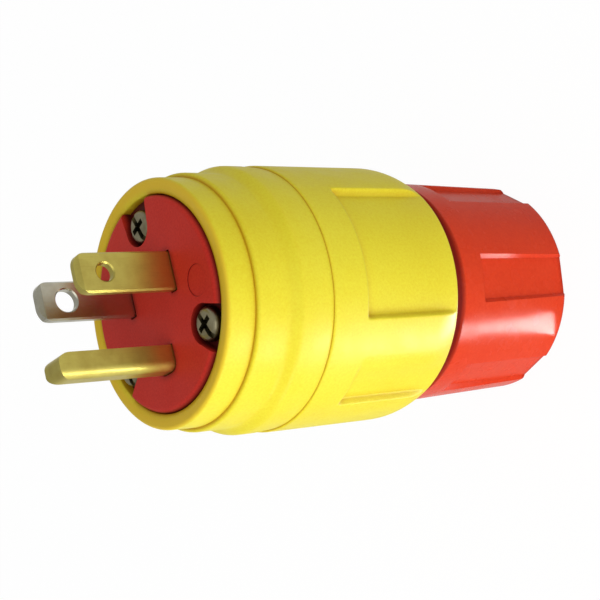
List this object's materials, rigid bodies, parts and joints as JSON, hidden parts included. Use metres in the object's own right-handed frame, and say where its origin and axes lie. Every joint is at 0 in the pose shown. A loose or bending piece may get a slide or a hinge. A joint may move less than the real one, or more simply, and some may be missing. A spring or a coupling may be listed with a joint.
{
  "type": "straight blade power plug",
  "caption": "Grounded straight-blade wiring plug with a stepped yellow elastomer body, a red contact insert and a red grooved cord compression nut.",
  "frame": {"origin": "on the plug's axis, at the rear face of the compression nut, on which the plug stands", "axes": "+Z along the plug's axis towards the blades; +X across the two flat blades, towards the brass one; the ground pin is on the -Y side"},
  "size_m": [0.044, 0.044, 0.0954],
  "materials": {
    "yellow_elastomer": "satin moulded thermoplastic elastomer",
    "red_shell": "moulded nylon",
    "red_insert": "satin moulded nylon",
    "red_nut": "glossy moulded nylon",
    "black_rubber": "soft matte rubber",
    "brass": "stamped brass",
    "nickel_blade": "nickel-plated brass",
    "nickel_screw": "nickel-plated steel",
    "green_screw": "green-dyed steel",
    "white_nylon": "natural nylon",
    "washer_steel": "plain steel"
  },
  "bodies": {
    "plug": {"outer_body": "yellow_elastomer", "inner_shell": "red_shell", "contact_insert": "red_insert", "face_gasket": "black_rubber", "face_screws": "nickel_screw", "boss_inserts": "brass", "line_blade": "brass", "neutral_blade": "nickel_blade", "ground_pin": "brass", "terminal_barrier": "red_shell", "barrier_screws": "nickel_screw", "line_terminal_screw": "brass", "neutral_terminal_screw": "nickel_screw", "ground_terminal_screw": "green_screw", "line_clamp_plate": "brass", "neutral_clamp_plate": "nickel_screw", "ground_clamp_plate": "brass", "cord_grommet": "black_rubber", "clamp_ring": "white_nylon"},
    "washer": {"thrust_washer": "washer_steel"},
    "nut": {"compression_nut": "red_nut"}
  },
  "joints": [
    {"name": "nut_travel", "type": "slide", "parent": "plug", "child": "washer", "axis": [0, 0, -1], "range_m": [0, 0.018]},
    {"name": "nut_turn", "type": "hinge", "parent": "washer", "child": "nut", "pos_m": [0, 0, 0], "axis": [0, 0, -1], "range_deg": [0, 2160]}
  ],
  "couplings": [
    {"joint": "nut_travel", "follows": "nut_turn", "m_per_rad": 0.00047746}
  ]
}
